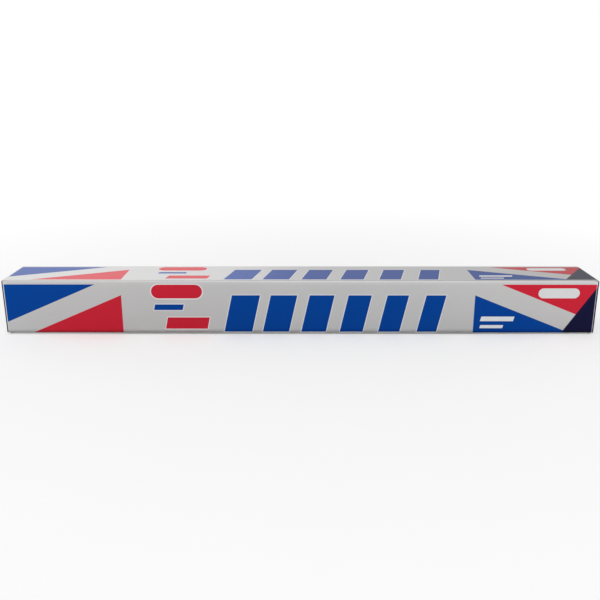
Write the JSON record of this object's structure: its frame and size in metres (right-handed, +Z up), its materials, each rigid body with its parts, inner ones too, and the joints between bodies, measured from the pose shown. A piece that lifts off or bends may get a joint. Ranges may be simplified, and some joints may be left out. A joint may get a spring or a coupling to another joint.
{
  "type": "boxed aluminium foil roll",
  "caption": "Long square-section board carton with a hinged full-front lid and a toothed cutting strip, holding kitchen foil wound on a card core.",
  "frame": {"origin": "on the table, under the middle of the closed carton", "axes": "+X along the roll, -Y towards the carton's front, +Z up"},
  "size_m": [0.4636, 0.0456, 0.0441],
  "materials": {
    "printed_board": "metallised film",
    "wound_foil": "bright",
    "grey_board": "plain",
    "cutter_steel": "bright"
  },
  "bodies": {
    "carton": {"carton_body": "printed_board", "foil_roll": "wound_foil", "core_tube": "grey_board"},
    "lid": {"carton_lid": "printed_board", "cutter_blade": "cutter_steel"}
  },
  "joints": [
    {"name": "lid_hinge", "type": "hinge", "parent": "carton", "child": "lid", "pos_m": [0, 0.02277, 0.04414], "axis": [-1, 0, 0], "range_deg": [0, 180]}
  ]
}
